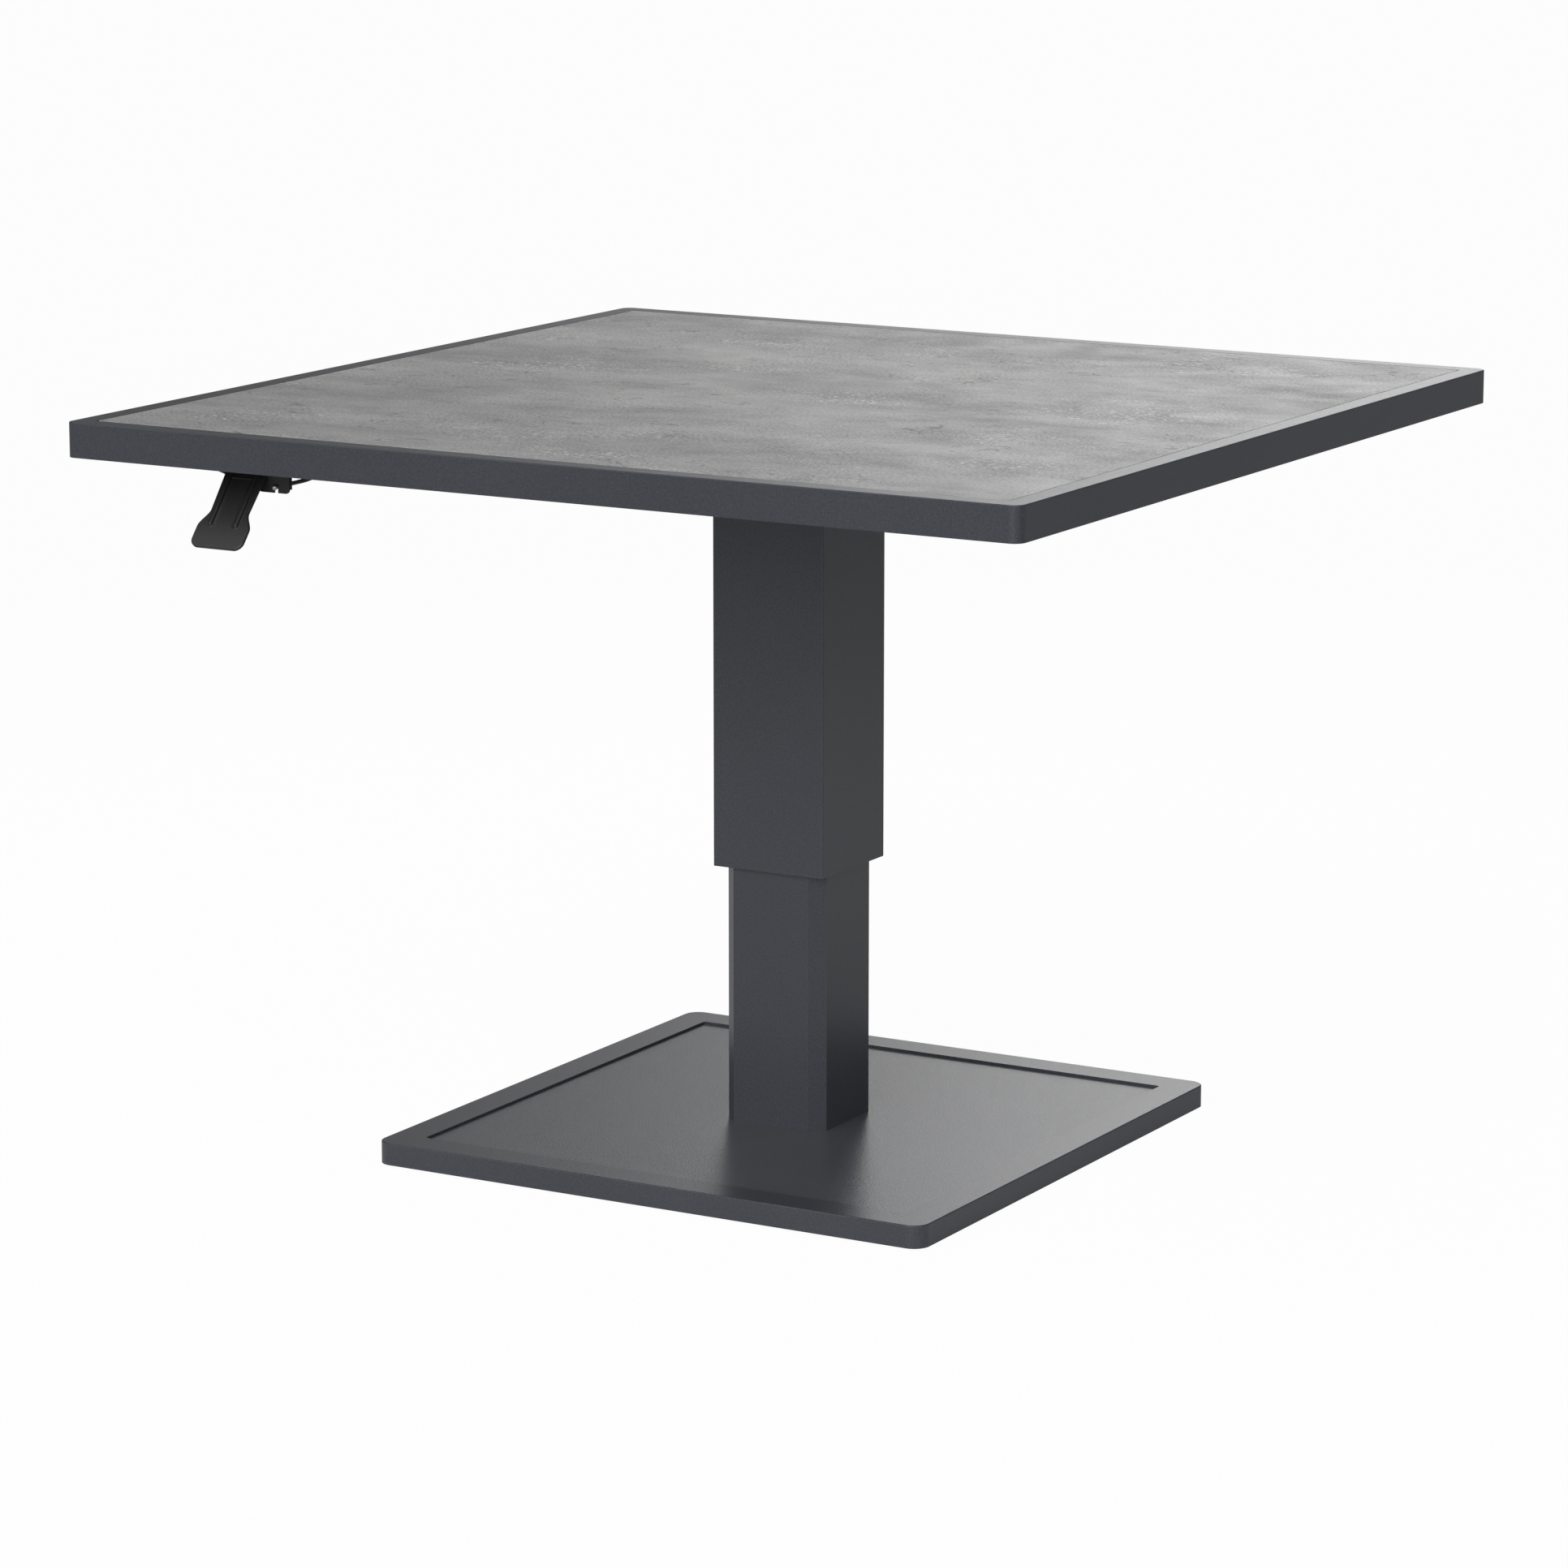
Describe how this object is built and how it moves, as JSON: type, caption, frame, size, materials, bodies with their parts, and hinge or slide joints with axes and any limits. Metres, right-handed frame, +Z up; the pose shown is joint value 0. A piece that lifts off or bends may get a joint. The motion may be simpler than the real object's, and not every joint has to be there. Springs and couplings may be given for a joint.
{
  "type": "telescoping pedestal table",
  "caption": "Square table with a framed slab top on a square telescoping column, flat square base, and a release lever under the front edge for a lockable gas spring.",
  "frame": {"origin": "on the floor under the middle of the column, at the bottom of the floor glides", "axes": "+Z up, +X to the right along the lever side, -Y out of the side that carries the release lever"},
  "size_m": [1, 1, 0.736],
  "materials": {
    "frame_coat": "anthracite fine-texture powder coat",
    "base_coat": "anthracite fine-texture powder coat",
    "slab_laminate": "matt concrete-look compact laminate",
    "rail_aluminium": "extruded, anthracite powder coat",
    "black_steel": "black powder coat on sheet steel",
    "zinc_steel": "zinc-plated",
    "spring_black": "black enamel",
    "bright_steel": "ground and polished",
    "guide_plastic": "moulded acetal",
    "paddle_plastic": "moulded black plastic",
    "cable_plastic": "black plastic cover",
    "black_rubber": "matt rubber"
  },
  "bodies": {
    "base": {"ballast_clips": "black_steel", "ballast_plate": "black_steel", "base_bolts": "zinc_steel", "base_panel": "base_coat", "base_rim_back": "frame_coat", "base_rim_front": "frame_coat", "base_rim_left": "frame_coat", "base_rim_right": "frame_coat", "clip_screws": "zinc_steel", "floor_glides": "black_rubber", "gas_spring_cylinder": "spring_black", "gas_spring_foot": "zinc_steel", "gas_spring_gland": "zinc_steel", "lower_end_plate": "black_steel", "lower_tube": "frame_coat", "top_guide": "guide_plastic", "top_guide_screws": "zinc_steel"},
    "lift": {"bottom_guide": "guide_plastic", "bracket_screws": "zinc_steel", "cable_clip_screws": "zinc_steel", "cable_clips": "zinc_steel", "cable_sheath": "cable_plastic", "crank_pin": "zinc_steel", "crank_pin_clip": "zinc_steel", "frame_back": "frame_coat", "frame_front": "frame_coat", "frame_left": "frame_coat", "frame_right": "frame_coat", "gas_spring_piston": "zinc_steel", "gas_spring_rod": "bright_steel", "head_ferrule": "zinc_steel", "head_plate": "black_steel", "head_plate_screws": "zinc_steel", "lever_bracket": "black_steel", "lever_ferrule": "zinc_steel", "pivot_clip": "zinc_steel", "pivot_pin": "zinc_steel", "rail_inner_left": "rail_aluminium", "rail_inner_right": "rail_aluminium", "rail_outer_left": "rail_aluminium", "rail_outer_right": "rail_aluminium", "rail_pads": "black_rubber", "release_yoke": "black_steel", "rod_nuts": "zinc_steel", "slab_tape": "black_rubber", "table_slab": "slab_laminate", "tube_grommet": "black_rubber", "upper_tube": "frame_coat", "yoke_screws": "zinc_steel"},
    "lever": {"lever_arm": "black_steel", "lever_paddle": "paddle_plastic", "paddle_screws": "zinc_steel"},
    "lever_wire": {"lever_wire_end": "zinc_steel"},
    "head_wire": {"head_wire_end": "zinc_steel"},
    "crank": {"release_crank": "zinc_steel"},
    "valve": {"valve_pin": "bright_steel"}
  },
  "joints": [
    {"name": "column_lift", "type": "slide", "parent": "base", "child": "lift", "axis": [0, 0, 1], "range_m": [-0.245, 0]},
    {"name": "lever_pull", "type": "hinge", "parent": "lift", "child": "lever", "pos_m": [-0.342, -0.43, 0.695], "axis": [-1, 0, 0], "range_deg": [0, 22], "stiffness_Nm_per_rad": 0.8, "springref_deg": -28.65},
    {"name": "lever_wire_slide", "type": "slide", "parent": "lift", "child": "lever_wire", "axis": [0, -1, 0], "range_m": [0, 0.0066]},
    {"name": "head_wire_slide", "type": "slide", "parent": "lift", "child": "head_wire", "axis": [-1, 0, 0], "range_m": [0, 0.0066]},
    {"name": "crank_turn", "type": "hinge", "parent": "lift", "child": "crank", "pos_m": [0.01, 0, 0.66], "axis": [0, -1, 0], "range_deg": [0, 17]},
    {"name": "valve_press", "type": "slide", "parent": "lift", "child": "valve", "axis": [0, 0, -1], "range_m": [0, 0.003]}
  ],
  "couplings": [
    {"joint": "lever_wire_slide", "follows": "lever_pull", "m_per_rad": 0.0166},
    {"joint": "head_wire_slide", "follows": "lever_pull", "m_per_rad": 0.0166},
    {"joint": "crank_turn", "follows": "lever_pull", "ratio": 0.75455},
    {"joint": "valve_press", "follows": "lever_pull", "m_per_rad": 0.007545}
  ]
}
